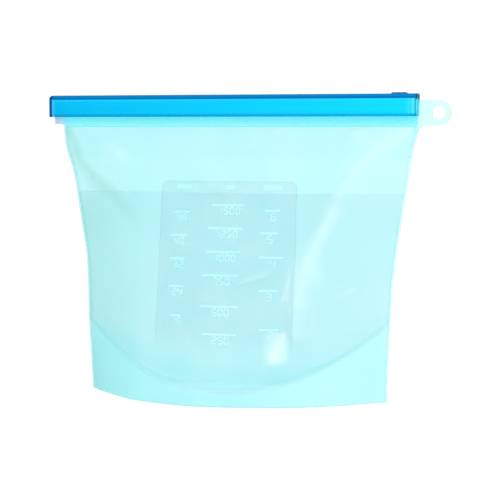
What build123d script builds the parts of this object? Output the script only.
from build123d import *
import os

# Stand-up silicone storage bag with a slide-on closing bar.
# Millimetres. +X to the hanging-tab end, +Y to the back, +Z up.
# Origin: on the floor, midway along the overall length (bar end to tab tip), in the
# bag's middle plane. Sizes named _X, _X0 or _X1 are measured from the bag's centre line.

FRONT, BACK = -1, 1
LEFT, RIGHT = -1, 1

# ---------------------------------------------------------------- driving dimensions
WALL_T = 1.0             # silicone sheet thickness
SEAM_T = 2.2             # thickness of the welded edge band
SEAM_W = 4.15            # width of the welded edge band
GAP = 0.12               # clearance from the middle plane
EDGE_GAP = 0.35          # clearance between a wall sheet's edge and its side seam
WALL_TOP = 155.6         # where the sheets end

# silhouette, height: (reach to the left, reach to the right) of the centre line
SILHOUETTE = {
    0.0: (89.3, 88.2), 8.0: (89.9, 88.4), 20.0: (90.4, 88.7), 40.0: (91.5, 89.5),
    55.0: (91.8, 90.3), 70.0: (92.1, 91.4), 84.0: (93.1, 92.9), 98.0: (95.2, 94.9),
    112.0: (97.3, 96.9), 126.0: (99.6, 99.0), 134.0: (101.6, 100.2), 141.0: (103.8, 101.4),
    148.0: (105.3, 102.9), WALL_TOP: (105.9, 104.4),
}
# places across a wall sheet, from its left edge (-1) to its right edge (1)
STATIONS = [-1, -0.96, -0.9, -0.8, -0.65, -0.48, -0.3, -0.15, 0,
            0.15, 0.3, 0.48, 0.65, 0.8, 0.9, 0.96, 1]

BASE_DEPTH = 37.5        # half depth of the standing base at the floor
NECK_DEPTH = 1.75        # half depth under the lips
DEPTH_POWER = 1.15       # how full the side profile is
PLAN_FULLNESS = 0.15     # 0 is a parabola in plan, larger is squarer
STANCE_SKEW = 0.17       # the base stands slightly turned: fuller front left and back right
SLOPE_STEP = 1e-3        # step across the sheet for measuring its slope

GUSSET_T = 0.9
GUSSET_SPAN = 0.95       # share of the sheet's width that the gusset covers
GUSSET_STEPS = 14        # loft steps from the middle to each end
GUSSET_INSET = 0.25      # clearance between the gusset's foot and the wall
GUSSET_FOOT_Z = 0.5
CREASE_MID = 8.0         # height of the gusset crease at the middle
CREASE_RISE = 31.0       # extra height of the crease at the side seams
CREASE_POWER = 2.2
CREASE_Y = 0.15          # distance of each half's crease edge from the middle plane
BEND_Y, BEND_Z = 0.52, 0.62   # bend between foot and crease: share of foot depth, of rise
MIN_RUN = 0.35           # least run, as a share of slope length, used for the thickness

LIP_X0, LIP_X1 = -111.4, 103.6
LIP_Z0 = WALL_TOP + 0.2
LIP_NECK_Z = 163.05      # underside of the bead
LIP_TOP = 172.5
LIP_NECK_Y = 1.7
LIP_BEAD_Y = 4.2
LIP_CHAMFER = 1.6
RIB_Z, RIB_R = 168.0, 0.8
RIB_TIP_Y = 1.6          # how far the rib reaches past the middle plane
RIB_ROOT = 1.0           # how far it runs back into the front lip
GROOVE_R_PLAY, GROOVE_TIP_PLAY = 0.2, 0.25

BAR_X0, BAR_X1 = -113.3, 104.0
BAR_Z0, BAR_Z1 = 161.65, 174.2
BAR_Y = 5.7              # half depth
BAR_WALL = 1.2
BAR_SLOT_Y = 1.95        # half width of the slot in the underside
BAR_END_T = 1.6
BAR_CORNER_R = 2.4       # rounded top corner of the closed end
BAR_EDGE_R = 1.1
RIDGE_X0, RIDGE_X1 = 89.5, 98.0
RIDGE_H, RIDGE_DEPTH, RIDGE_R = 0.7, 7.0, 0.7
RIDGE_ROOT = 0.6         # how far the ridge is sunk into the bar

TAB_T = 2.8
TAB_Z = 163.6            # height of the eyelet's centre
TAB_EYE_X = 115.5
TAB_EYE_R = 3.75
TAB_RING_R = 7.0
TAB_HINGE_X = 107.2      # line about which the soft tab bends
TAB_NOSE_R = TAB_T / 2

POST_X0, POST_X1 = 104.4, 106.2
POST_Z0, POST_TOP = WALL_TOP - 6, 170.6
POST_DEPTH = 3.0
POST_FOOT_X0 = 101.5
POST_FOOT_TRIM = 0.05    # held back from the post's bottom and from the wall's top
SOCKET_PLAY = 0.2        # radial clearance around the tab's nose
SOCKET_Z, SOCKET_H = 165, 40

CUT = 1.0                # overrun of cutting tools past the faces they open

# the centre line's place puts the origin midway between bar end and tab tip
BAG_CX = -(BAR_X0 + TAB_EYE_X + TAB_RING_R) / 2


def centred_box(x0, x1, depth, z0, z1):
    """Box centred on the middle plane, x measured from the bag's centre line."""
    return Pos(BAG_CX + (x0 + x1) / 2, 0, (z0 + z1) / 2) * Box(x1 - x0, depth, z1 - z0)


# ---------------------------------------------------------------- shape of the bag
def reach(z, side):
    """Silhouette distance from the centre line at one of the tabled heights."""
    left, right = SILHOUETTE[z]
    return left if side == LEFT else right


def sheet_x(z, across):
    """Distance from the centre line of a place across the sheet, from -1 to 1."""
    left = -reach(z, LEFT) + SEAM_W + EDGE_GAP
    right = reach(z, RIGHT) - SEAM_W - EDGE_GAP
    return (left + right) / 2 + across * (right - left) / 2


def sheet_outer(z, across, side):
    """Distance of a wall sheet's outer face from the middle plane."""
    height = z / WALL_TOP
    middle = NECK_DEPTH + (BASE_DEPTH - NECK_DEPTH) * (1 - height ** DEPTH_POWER)
    edge = SEAM_T / 2
    plan = (1 - across ** 2) * (1 + PLAN_FULLNESS * across ** 2)
    skew = 1 + side * STANCE_SKEW * across * (1 - height)
    return edge + (middle - edge) * plan * skew


def sheet_inner(z, across, side):
    """Distance of the inner face, with the thickness corrected for the slope in plan."""
    half_width = (sheet_x(z, 1) - sheet_x(z, -1)) / 2
    ahead = sheet_outer(z, min(across + SLOPE_STEP, 1), side)
    behind = sheet_outer(z, max(across - SLOPE_STEP, -1), side)
    slope = (ahead - behind) / (2 * SLOPE_STEP * half_width)
    return max(sheet_outer(z, across, side) - WALL_T * (1 + slope ** 2) ** 0.5, GAP)


# ---------------------------------------------------------------- wall sheets
def wall(side):
    """Thin curved shell, lofted upwards."""
    def face_points(z, face):
        return [Vector(BAG_CX + sheet_x(z, across), side * face(z, across, side), z)
                for across in STATIONS]

    sections = []
    for z in SILHOUETTE:
        outer = face_points(z, sheet_outer)
        inner = face_points(z, sheet_inner)
        sections.append(Wire([
            Edge.make_spline(outer),
            Edge.make_line(outer[-1], inner[-1]),
            Edge.make_spline(inner[::-1]),
            Edge.make_line(inner[0], outer[0]),
        ]))
    return Solid.make_loft(sections, ruled=False)


# ---------------------------------------------------------------- welded side seams
def seam(side):
    """Flat band that follows the silhouette."""
    outer = [(BAG_CX + side * reach(z, side), z) for z in SILHOUETTE]
    inner = [(BAG_CX + side * (reach(z, side) - SEAM_W), z) for z in SILHOUETTE]
    with BuildSketch() as band:
        with BuildLine():
            Spline(*outer)
            Line(outer[-1], inner[-1])
            Spline(*inner[::-1])
            Line(inner[0], outer[0])
        make_face()
    return extrude(Plane.XZ * band.sketch, amount=SEAM_T / 2, both=True)


def right_seam():
    """Right band with the post that carries the hanging tab."""
    post = centred_box(POST_X0, POST_X1, POST_DEPTH, POST_Z0, POST_TOP)
    foot = centred_box(POST_FOOT_X0, POST_X1, SEAM_T,
                       POST_Z0 + POST_FOOT_TRIM, WALL_TOP - POST_FOOT_TRIM)
    socket = Pos(BAG_CX + TAB_HINGE_X, 0, SOCKET_Z) * Cylinder(TAB_NOSE_R + SOCKET_PLAY, SOCKET_H)
    return seam(RIGHT) + post + foot - socket


# ---------------------------------------------------------------- base gusset
def gusset(side):
    """Saddle-shaped half base, from the wall's foot up and in to the crease."""
    sections = []
    for i in range(-GUSSET_STEPS, GUSSET_STEPS + 1):
        across = GUSSET_SPAN * i / GUSSET_STEPS
        x = BAG_CX + sheet_x(0, across)
        foot_y = sheet_inner(0, across, side) - GUSSET_INSET
        crease_z = CREASE_MID + CREASE_RISE * abs(across) ** CREASE_POWER
        run, rise = foot_y - CREASE_Y, crease_z - GUSSET_FOOT_Z
        length = (run ** 2 + rise ** 2) ** 0.5
        lift = GUSSET_T * length / max(run, MIN_RUN * length)   # sheet's vertical thickness
        under = [(foot_y, GUSSET_FOOT_Z),
                 (foot_y * BEND_Y, GUSSET_FOOT_Z + rise * BEND_Z),
                 (CREASE_Y, crease_z)]
        loop = under + [(y, z + lift) for y, z in reversed(under)]
        sections.append(Wire.make_polygon([Vector(x, side * y, z) for y, z in loop], close=True))
    return Solid.make_loft(sections, ruled=True)


# ---------------------------------------------------------------- closing lips
LIP_L = LIP_X1 - LIP_X0
LIP_CX = BAG_CX + (LIP_X0 + LIP_X1) / 2


def lip(side):
    """Strip with a thick bead; section drawn in YZ, run along X."""
    outline = [(GAP, LIP_Z0), (LIP_NECK_Y, LIP_Z0),
               (LIP_NECK_Y, LIP_NECK_Z), (LIP_BEAD_Y, LIP_NECK_Z),
               (LIP_BEAD_Y, LIP_TOP - LIP_CHAMFER), (LIP_BEAD_Y - LIP_CHAMFER, LIP_TOP),
               (GAP, LIP_TOP)]
    with BuildSketch(Plane.YZ) as section:
        with BuildLine():
            Polyline(*[(side * y, z) for y, z in outline], close=True)
        make_face()
    return extrude(section.sketch, amount=LIP_L / 2, both=True).moved(Location((LIP_CX, 0, 0)))


def round_rib(radius, tip_y, length):
    """Half-round rib along X, from the front lip to tip_y behind the middle plane."""
    nose_y = tip_y - radius
    core = Pos(0, (nose_y - RIB_ROOT) / 2, 0) * Box(length, nose_y + RIB_ROOT, 2 * radius)
    nose = Pos(0, nose_y, 0) * Cylinder(radius, length, rotation=(0, 90, 0))
    return (core + nose).moved(Location((LIP_CX, 0, RIB_Z)))


def front_lip():
    return lip(FRONT) + round_rib(RIB_R, RIB_TIP_Y, LIP_L)


def back_lip():
    """Lip with the groove that takes the front lip's rib."""
    return lip(BACK) - round_rib(RIB_R + GROOVE_R_PLAY, RIB_TIP_Y + GROOVE_TIP_PLAY,
                                 LIP_L + 2 * CUT)


# ---------------------------------------------------------------- slide bar
def slide_bar():
    """C-channel, open below and at the right end, with a thumb ridge on top."""
    shell = centred_box(BAR_X0, BAR_X1, 2 * BAR_Y, BAR_Z0, BAR_Z1)
    corner = shell.edges().filter_by(Axis.Y).group_by(Axis.Z)[-1].sort_by(Axis.X)[0]
    shell = fillet(corner, BAR_CORNER_R)
    shell = fillet(shell.edges().filter_by(Axis.X), BAR_EDGE_R)

    inside_x0, inside_x1 = BAR_X0 + BAR_END_T, BAR_X1 + CUT
    cavity = centred_box(inside_x0, inside_x1, 2 * (BAR_Y - BAR_WALL),
                         BAR_Z0 + BAR_WALL, BAR_Z1 - BAR_WALL)
    slot_rise = BAR_WALL + CUT / 2
    slot = centred_box(inside_x0, inside_x1, 2 * BAR_SLOT_Y,
                       BAR_Z0 - slot_rise, BAR_Z0 + slot_rise)

    ridge = centred_box(RIDGE_X0, RIDGE_X1, RIDGE_DEPTH, BAR_Z1 - RIDGE_ROOT, BAR_Z1 + RIDGE_H)
    ridge = fillet(ridge.edges().filter_by(Axis.Y).group_by(Axis.Z)[-1], RIDGE_R)
    return shell - cavity - slot + (ridge - cavity)


# ---------------------------------------------------------------- hanging tab
def hang_tab():
    """Plate with a rounded nose at the hinge line and an eyelet at its right end."""
    plate = centred_box(TAB_HINGE_X, TAB_EYE_X, TAB_T, TAB_Z - TAB_RING_R, TAB_Z + TAB_RING_R)
    eye_centre = Pos(BAG_CX + TAB_EYE_X, 0, TAB_Z)
    ring = eye_centre * Cylinder(TAB_RING_R, TAB_T, rotation=(90, 0, 0))
    nose = Pos(BAG_CX + TAB_HINGE_X, 0, TAB_Z) * Cylinder(TAB_NOSE_R, 2 * TAB_RING_R)
    eye = eye_centre * Cylinder(TAB_EYE_R, TAB_T + 2 * CUT, rotation=(90, 0, 0))
    return plate + ring + nose - eye


# ---------------------------------------------------------------- one STEP file per piece
PARTS = {
    "front_wall": wall(FRONT),
    "back_wall": wall(BACK),
    "left_side_seam": seam(LEFT),
    "right_side_seam": right_seam(),
    "base_gusset_front": gusset(FRONT),
    "base_gusset_back": gusset(BACK),
    "front_lip": front_lip(),
    "back_lip": back_lip(),
    "slide_bar": slide_bar(),
    "hang_tab": hang_tab(),
}

os.makedirs("parts", exist_ok=True)
for name, shape in PARTS.items():
    solids = shape.solids()
    body = solids[0] if len(solids) == 1 else Compound(children=list(solids))
    body.label = name
    export_step(body, "parts/" + name + ".step")
